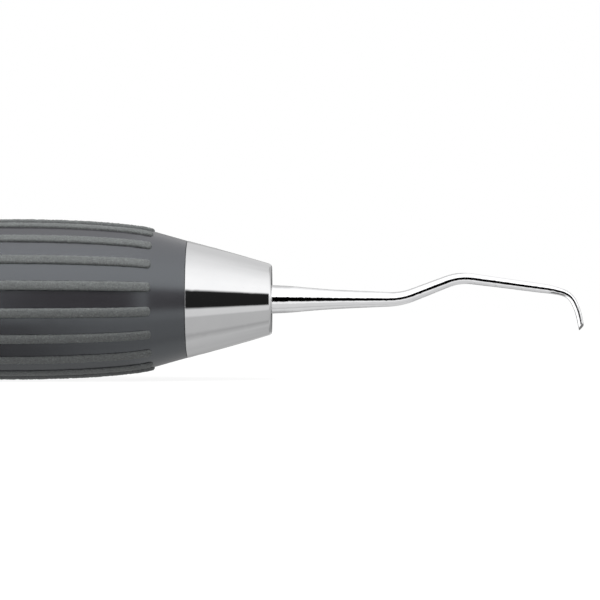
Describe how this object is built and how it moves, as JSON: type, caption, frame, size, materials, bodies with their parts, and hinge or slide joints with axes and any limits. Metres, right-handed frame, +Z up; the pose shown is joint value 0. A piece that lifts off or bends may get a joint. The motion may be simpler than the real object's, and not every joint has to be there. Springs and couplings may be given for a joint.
{
  "type": "hand scaler",
  "caption": "Double-ended dental hoe scaler with two large ribbed grips on a hollow handle, polished nose cones, angled shanks and small hooked blades.",
  "frame": {"origin": "middle of the handle, on its axis", "axes": "+X along the handle to the front working end, +Z up with both blades hooked towards -Z"},
  "size_m": [0.1698, 0.0124, 0.0126],
  "materials": {
    "satin_steel": "fine satin stainless steel",
    "polished_steel": "mirror-polished stainless steel",
    "grip_body": "smooth satin moulding, dark grey",
    "grip_rib": "fine spark-eroded texture, mid grey",
    "insert_steel": "turned and threaded",
    "seal_rubber": "black elastomer"
  },
  "bodies": {
    "root": {"core_tube": "satin_steel", "centre_barrel": "satin_steel", "front_grip_shell": "grip_body", "front_grip_ribs": "grip_rib", "front_nose_cone": "polished_steel", "front_working_end": "polished_steel", "front_thread_insert": "insert_steel", "front_seal_ring": "seal_rubber", "rear_grip_shell": "grip_body", "rear_grip_ribs": "grip_rib", "rear_nose_cone": "polished_steel", "rear_working_end": "polished_steel", "rear_thread_insert": "insert_steel", "rear_seal_ring": "seal_rubber"}
  },
  "joints": []
}
